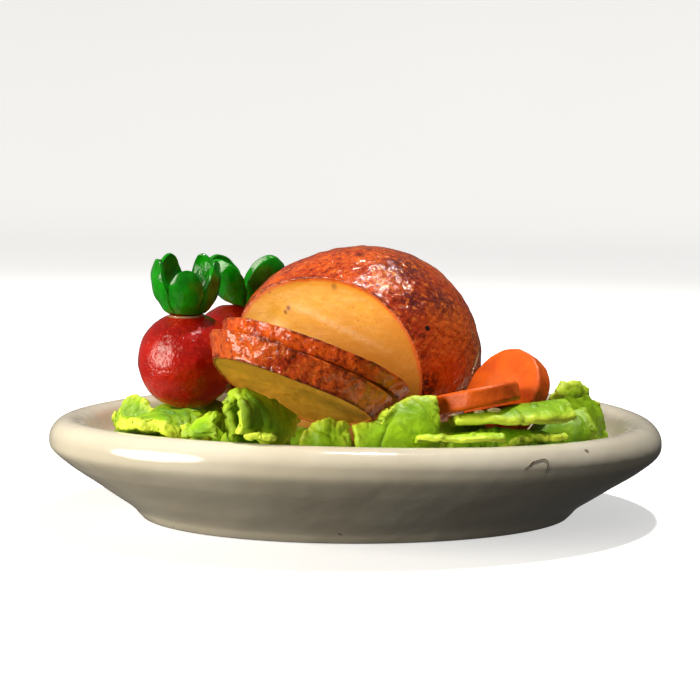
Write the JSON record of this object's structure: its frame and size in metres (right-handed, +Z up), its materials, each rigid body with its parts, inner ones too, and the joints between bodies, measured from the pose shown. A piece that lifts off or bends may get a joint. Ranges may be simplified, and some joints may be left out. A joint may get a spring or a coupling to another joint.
{
  "type": "dolls' house roast gammon on a platter",
  "caption": "Miniature carved gammon joint with fallen slices, tomatoes, carrot slices and curly lettuce on a glazed oval platter.",
  "frame": {"origin": "bottom centre of the whole, in the middle of the platter's flat underside", "axes": "+X along the platter to the picture's right, +Y to its far side, +Z up"},
  "size_m": [0.035, 0.026, 0.0153],
  "materials": {
    "glaze": "glossy off-white ceramic glaze",
    "gammon": "glazed reddish-brown rind, golden cut faces",
    "tomato": "satin red clay",
    "crown": "glossy dark green clay",
    "carrot": "satin orange clay",
    "lettuce": "satin yellow-green clay"
  },
  "bodies": {
    "root": {"plate": "glaze", "gammon_joint": "gammon", "slice_1": "gammon", "slice_2": "gammon", "tomato_1": "tomato", "tomato_2": "tomato", "crown_1": "crown", "crown_2": "crown", "carrot_1": "carrot", "carrot_2": "carrot", "lettuce_1": "lettuce", "lettuce_2": "lettuce", "lettuce_3": "lettuce", "lettuce_4": "lettuce", "lettuce_5": "lettuce", "lettuce_6": "lettuce", "lettuce_7": "lettuce", "lettuce_8": "lettuce", "lettuce_9": "lettuce", "lettuce_10": "lettuce", "lettuce_11": "lettuce", "lettuce_12": "lettuce", "lettuce_13": "lettuce", "lettuce_14": "lettuce", "lettuce_15": "lettuce", "lettuce_16": "lettuce", "lettuce_17": "lettuce", "lettuce_18": "lettuce"}
  },
  "joints": []
}
